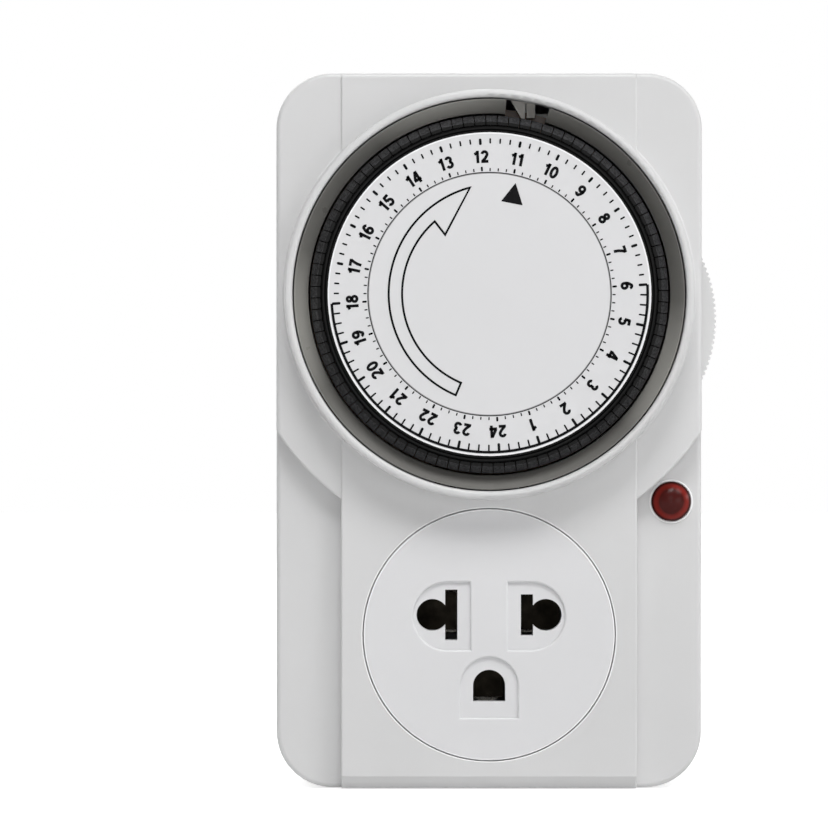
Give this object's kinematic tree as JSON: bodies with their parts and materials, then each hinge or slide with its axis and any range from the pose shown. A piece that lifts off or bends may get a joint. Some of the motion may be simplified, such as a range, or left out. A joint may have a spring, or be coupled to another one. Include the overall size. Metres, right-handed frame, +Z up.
{
  "type": "plug in timer switch",
  "caption": "Plug-in mechanical day timer: a turning dial ringed by push-in segments over a through socket, with a side override lever, a lamp, and plug pins on the back.",
  "frame": {"origin": "on the flat rear face, midway between the two flat plug blades", "axes": "+Z up along the body's length, +X to the right of someone facing the dial, +Y into the wall, the way the plug pins point"},
  "size_m": [0.0748, 0.064, 0.1205],
  "materials": {
    "cover_plastic": "fine matt moulded plastic",
    "socket_plastic": "smoother moulded plastic",
    "well_plastic": "grey moulded plastic",
    "dial_black": "black moulded plastic",
    "tappet_black": "black moulded plastic",
    "ring_white": "printed white plastic",
    "disc_white": "printed white plastic",
    "lever_plastic": "grey moulded plastic",
    "feeler_plastic": "off-white slippery plastic",
    "gear_plastic": "natural slippery plastic",
    "switch_black": "heat-proof moulded plastic",
    "block_plastic": "heat-proof moulded plastic",
    "steel": "zinc plated",
    "brass": "bare",
    "plated_brass": "nickel plated",
    "lens_red": "glossy, see-through red",
    "lamp_glass": "clear",
    "resistor_body": "lacquered",
    "wire_insulation": "soft insulation"
  },
  "bodies": {
    "housing": {"front_cover": "cover_plastic", "rear_cover": "cover_plastic", "cover_screws": "steel", "dial_well": "well_plastic", "mechanism_plate": "steel", "mechanism_screws": "steel", "pivot_pins": "steel", "motor_can": "steel", "motor_screws": "steel", "motor_leads": "wire_insulation", "dial_spindle": "gear_plastic", "pointer_disc": "disc_white", "switch_case": "switch_black", "switch_terminals": "brass", "live_wires": "wire_insulation", "socket_insert": "socket_plastic", "contact_block": "block_plastic", "live_contact": "brass", "neutral_contact": "brass", "earth_contact": "brass", "live_blade": "plated_brass", "neutral_blade": "plated_brass", "earth_pin": "plated_brass", "lamp_lens": "lens_red", "neon_lamp": "lamp_glass", "lamp_resistor": "resistor_body"},
    "dial": {"dial_carrier": "dial_black", "number_ring": "ring_white", "dial_gear": "gear_plastic"},
    "second_gear": {"second_gear": "gear_plastic"},
    "first_gear": {"first_gear": "gear_plastic"},
    "motor_pinion": {"motor_pinion": "brass"},
    "override_lever": {"override_lever": "lever_plastic"},
    "feeler_lever": {"feeler_lever": "feeler_plastic"},
    "switch_plunger": {"switch_plunger": "feeler_plastic"},
    "tappets_hour_01": {"tappets_hour_01": "tappet_black"},
    "tappets_hour_02": {"tappets_hour_02": "tappet_black"},
    "tappets_hour_03": {"tappets_hour_03": "tappet_black"},
    "tappets_hour_04": {"tappets_hour_04": "tappet_black"},
    "tappets_hour_05": {"tappets_hour_05": "tappet_black"},
    "tappets_hour_06": {"tappets_hour_06": "tappet_black"},
    "tappets_hour_07": {"tappets_hour_07": "tappet_black"},
    "tappets_hour_08": {"tappets_hour_08": "tappet_black"},
    "tappets_hour_09": {"tappets_hour_09": "tappet_black"},
    "tappets_hour_10": {"tappets_hour_10": "tappet_black"},
    "tappets_hour_11": {"tappets_hour_11": "tappet_black"},
    "tappets_hour_12": {"tappets_hour_12": "tappet_black"},
    "tappets_hour_13": {"tappets_hour_13": "tappet_black"},
    "tappets_hour_14": {"tappets_hour_14": "tappet_black"},
    "tappets_hour_15": {"tappets_hour_15": "tappet_black"},
    "tappets_hour_16": {"tappets_hour_16": "tappet_black"},
    "tappets_hour_17": {"tappets_hour_17": "tappet_black"},
    "tappets_hour_18": {"tappets_hour_18": "tappet_black"},
    "tappets_hour_19": {"tappets_hour_19": "tappet_black"},
    "tappets_hour_20": {"tappets_hour_20": "tappet_black"},
    "tappets_hour_21": {"tappets_hour_21": "tappet_black"},
    "tappets_hour_22": {"tappets_hour_22": "tappet_black"},
    "tappets_hour_23": {"tappets_hour_23": "tappet_black"},
    "tappets_hour_24": {"tappets_hour_24": "tappet_black"}
  },
  "joints": [
    {"name": "dial_turn", "type": "hinge", "parent": "housing", "child": "dial", "pos_m": [0, -0.035, 0.0537], "axis": [0, 1, 0], "continuous": true},
    {"name": "second_gear_turn", "type": "hinge", "parent": "housing", "child": "second_gear", "pos_m": [-0.01551, -0.021, 0.06181], "axis": [0, 1, 0], "continuous": true},
    {"name": "first_gear_turn", "type": "hinge", "parent": "housing", "child": "first_gear", "pos_m": [-0.01301, -0.019, 0.07354], "axis": [0, 1, 0], "continuous": true},
    {"name": "motor_pinion_turn", "type": "hinge", "parent": "housing", "child": "motor_pinion", "pos_m": [-0.00214, -0.0165, 0.06847], "axis": [0, 1, 0], "continuous": true},
    {"name": "override_press", "type": "hinge", "parent": "housing", "child": "override_lever", "pos_m": [0.01485, -0.0175, 0.04985], "axis": [0, -1, 0], "range_deg": [0, 15]},
    {"name": "feeler_lift", "type": "hinge", "parent": "housing", "child": "feeler_lever", "pos_m": [0.0215, -0.025, 0.0825], "axis": [0, 1, 0], "range_deg": [0, 4]},
    {"name": "plunger_press", "type": "slide", "parent": "housing", "child": "switch_plunger", "axis": [-1, 0, 0], "range_m": [0, 0.00045]},
    {"name": "hour_01_push", "type": "slide", "parent": "dial", "child": "tappets_hour_01", "axis": [0, 1, 0], "range_m": [0, 0.0025]},
    {"name": "hour_02_push", "type": "slide", "parent": "dial", "child": "tappets_hour_02", "axis": [0, 1, 0], "range_m": [0, 0.0025]},
    {"name": "hour_03_push", "type": "slide", "parent": "dial", "child": "tappets_hour_03", "axis": [0, 1, 0], "range_m": [0, 0.0025]},
    {"name": "hour_04_push", "type": "slide", "parent": "dial", "child": "tappets_hour_04", "axis": [0, 1, 0], "range_m": [0, 0.0025]},
    {"name": "hour_05_push", "type": "slide", "parent": "dial", "child": "tappets_hour_05", "axis": [0, 1, 0], "range_m": [0, 0.0025]},
    {"name": "hour_06_push", "type": "slide", "parent": "dial", "child": "tappets_hour_06", "axis": [0, 1, 0], "range_m": [0, 0.0025]},
    {"name": "hour_07_push", "type": "slide", "parent": "dial", "child": "tappets_hour_07", "axis": [0, 1, 0], "range_m": [0, 0.0025]},
    {"name": "hour_08_push", "type": "slide", "parent": "dial", "child": "tappets_hour_08", "axis": [0, 1, 0], "range_m": [0, 0.0025]},
    {"name": "hour_09_push", "type": "slide", "parent": "dial", "child": "tappets_hour_09", "axis": [0, 1, 0], "range_m": [0, 0.0025]},
    {"name": "hour_10_push", "type": "slide", "parent": "dial", "child": "tappets_hour_10", "axis": [0, 1, 0], "range_m": [0, 0.0025]},
    {"name": "hour_11_push", "type": "slide", "parent": "dial", "child": "tappets_hour_11", "axis": [0, 1, 0], "range_m": [0, 0.0025]},
    {"name": "hour_12_push", "type": "slide", "parent": "dial", "child": "tappets_hour_12", "axis": [0, 1, 0], "range_m": [0, 0.0025]},
    {"name": "hour_13_push", "type": "slide", "parent": "dial", "child": "tappets_hour_13", "axis": [0, 1, 0], "range_m": [0, 0.0025]},
    {"name": "hour_14_push", "type": "slide", "parent": "dial", "child": "tappets_hour_14", "axis": [0, 1, 0], "range_m": [0, 0.0025]},
    {"name": "hour_15_push", "type": "slide", "parent": "dial", "child": "tappets_hour_15", "axis": [0, 1, 0], "range_m": [0, 0.0025]},
    {"name": "hour_16_push", "type": "slide", "parent": "dial", "child": "tappets_hour_16", "axis": [0, 1, 0], "range_m": [0, 0.0025]},
    {"name": "hour_17_push", "type": "slide", "parent": "dial", "child": "tappets_hour_17", "axis": [0, 1, 0], "range_m": [0, 0.0025]},
    {"name": "hour_18_push", "type": "slide", "parent": "dial", "child": "tappets_hour_18", "axis": [0, 1, 0], "range_m": [0, 0.0025]},
    {"name": "hour_19_push", "type": "slide", "parent": "dial", "child": "tappets_hour_19", "axis": [0, 1, 0], "range_m": [0, 0.0025]},
    {"name": "hour_20_push", "type": "slide", "parent": "dial", "child": "tappets_hour_20", "axis": [0, 1, 0], "range_m": [0, 0.0025]},
    {"name": "hour_21_push", "type": "slide", "parent": "dial", "child": "tappets_hour_21", "axis": [0, 1, 0], "range_m": [0, 0.0025]},
    {"name": "hour_22_push", "type": "slide", "parent": "dial", "child": "tappets_hour_22", "axis": [0, 1, 0], "range_m": [0, 0.0025]},
    {"name": "hour_23_push", "type": "slide", "parent": "dial", "child": "tappets_hour_23", "axis": [0, 1, 0], "range_m": [0, 0.0025]},
    {"name": "hour_24_push", "type": "slide", "parent": "dial", "child": "tappets_hour_24", "axis": [0, 1, 0], "range_m": [0, 0.0025]}
  ],
  "couplings": [
    {"joint": "second_gear_turn", "follows": "dial_turn", "ratio": -6},
    {"joint": "first_gear_turn", "follows": "dial_turn", "ratio": 24},
    {"joint": "motor_pinion_turn", "follows": "dial_turn", "ratio": -96},
    {"joint": "feeler_lift", "follows": "override_press", "ratio": 0.26667},
    {"joint": "plunger_press", "follows": "override_press", "m_per_rad": 0.0017189}
  ]
}
